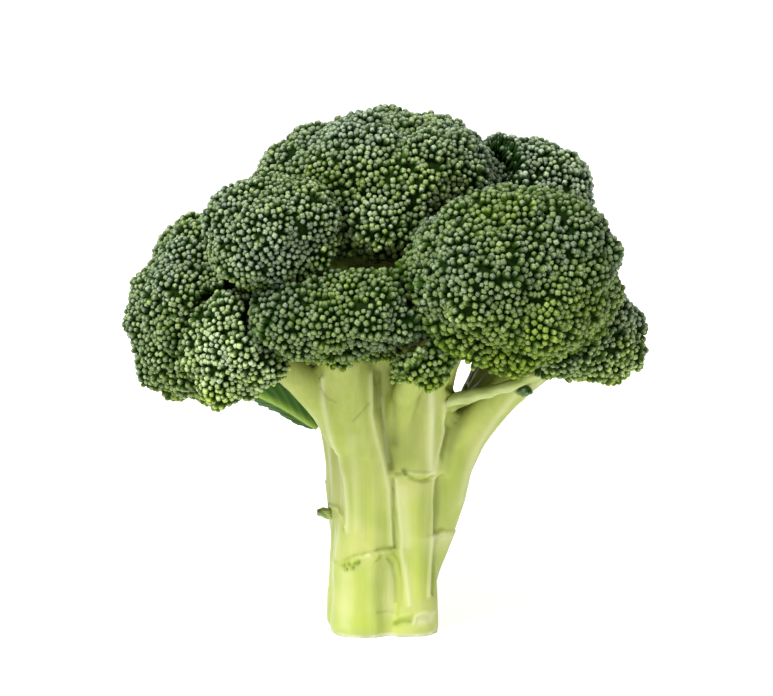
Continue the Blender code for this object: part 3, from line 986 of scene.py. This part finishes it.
def spread_out(mesh, count):
    """Move each bud's flat layout to its own cell of one square grid."""
    grid = math.ceil(math.sqrt(count))
    cell = np.arange(count)
    corner = np.stack([cell % grid, cell // grid], axis=1)
    layout = mesh.uv_layers["OFBake"].uv
    flat = np.empty(len(mesh.loops) * 2)
    layout.foreach_get("vector", flat)
    flat = (flat.reshape(count, -1, 2) + corner[:, None, :]) / grid
    layout.foreach_set("vector", flat.ravel())


# The ring below the bud's belly is its foot, and sinks into the core on a short stem.
template = bud_template()
shape = np.array([(*vert.co, 1.0) for vert in template.vertices])
foot = shape[:, 2] < BUD_RINGS[2][1] - 0.1
for number, (node, (facing, heart, pitch)) in enumerate(FLORETS.items()):
    axis = Vector(facing).normalized()
    tree = trees[node]
    others = [other for name, other in trees.items() if name != node]
    heights = [vert.co.z for vert in cores[node].vertices]
    floor, tall_by = min(heights), max(heights) - min(heights)
    fringe = min(FRINGE_REACH, FRINGE_SHARE * tall_by)
    rng = np.random.default_rng(100 + number)
    stands = []
    tints = []
    shades = []
    sinks = []
    for spot in evened(scatter(cores[node], pitch * THROWN_SPACING, number), tree, pitch):
        normal = tree.find_nearest(spot)[1]
        centre, out = clump_at(spot, CLUMP_SIZES[1][0])
        _, far_out = clump_at(spot, CLUMP_SIZES[0][0])
        above = spot.dot(axis) - rims[node]
        low_by = spot.z - floor
        bare = above < 0.0 and normal.z < BARE_TILT
        loss = CLEFT_LOSS * max(out, far_out) ** 3
        if bare or buried(spot + normal * BUD_ROOM, node) or rng.random() < loss:
            continue
        jitter = Vector(rng.normal(0.0, LEAN_RANDOM, 3))
        away = (spot - Vector(heart)).normalized()
        folded = clamped(1.2 - 2.0 * normal.dot(away))
        upright = LEAN_UNFOLD * folded * away + LEAN_UP * (1.0 - normal.dot(axis)) * axis
        fan = (spot - centre).normalized()
        lean = (normal + LEAN_OUT * out * fan + jitter + upright).normalized()
        radius = pitch * BUD_FILL * rng.uniform(*BUD_SHARES)
        tall = rng.uniform(*BUD_TALLS)
        turn = Matrix.Rotation(rng.uniform(0, math.tau), 4, "Z")
        stand = lean.to_track_quat("Z", "Y").to_matrix().to_4x4()
        size = Matrix.Diagonal((radius, radius, radius * tall, 1.0))
        # Towards the rim the buds stand further off, on longer stems.
        edge = 0.0
        if normal.z < 0.4 and folded < 0.6:
            edge = clamped(max(1.0 - above / fringe, 0.8 - low_by / (0.8 * fringe)))
        height = rng.uniform(*BUD_STANDS) + rng.uniform(0.0, RIM_STAND) * edge
        stands.append(Matrix.Translation(spot + lean * height) @ stand @ turn @ size)
        sinks.append(height / (radius * tall) + FOOT_SINK)
        # Yellower in patches, low down and along the rim.
        patch = noise.noise(spot / 0.022 + Vector((5, 1, 2)))
        shaded = max(1.0 - low_by / tall_by * 1.3, 0.0)
        tint = 0.12 + 0.40 * patch + 0.35 * shaded + 0.45 * edge ** 1.5
        tints.append(clamped(tint + WARMTH.get(node, 0.0) + rng.normal(0, 0.12)))
        # Painted light and shade: paler on the clumps, with painted shade in their clefts and in the nooks
        # between florets, and a random tone on top.
        gap = min((other.find_nearest(spot, NOOK)[3] or NOOK) for other in others) / NOOK
        painted_light_and_shade = FLORET_PAINTED_LIGHT.get(node, 1.0) * (1.20 - 0.42 * out - 0.30 * far_out)
        painted_light_and_shade *= 0.1 + 0.9 * max(gap, folded)
        shades.append(rng.uniform(0.50, 1.10) * painted_light_and_shade)
    bud_mesh = finished_copy(template, [("ARRAY", {"count": len(stands), "use_relative_offset": False})])
    stands = np.array(stands)[:, :3, :]
    places = np.einsum("nij,vj->nvi", stands, shape)
    places -= np.einsum("ni,n,v->nvi", stands[:, :, 2], sinks, foot)
    bud_mesh.vertices.foreach_set("co", places.ravel())
    store(bud_mesh, "tint", np.repeat(tints, len(shape)))
    store(bud_mesh, "shade", np.repeat(shades, len(shape)))
    store(bud_mesh, "stem", np.tile(foot, len(tints)))
    spread_out(bud_mesh, len(tints))
    bud_mesh.update()
    bud_mesh.shade_smooth()
    link_piece(node + "_buds", bud_mesh, bud_finish.material)

low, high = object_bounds()
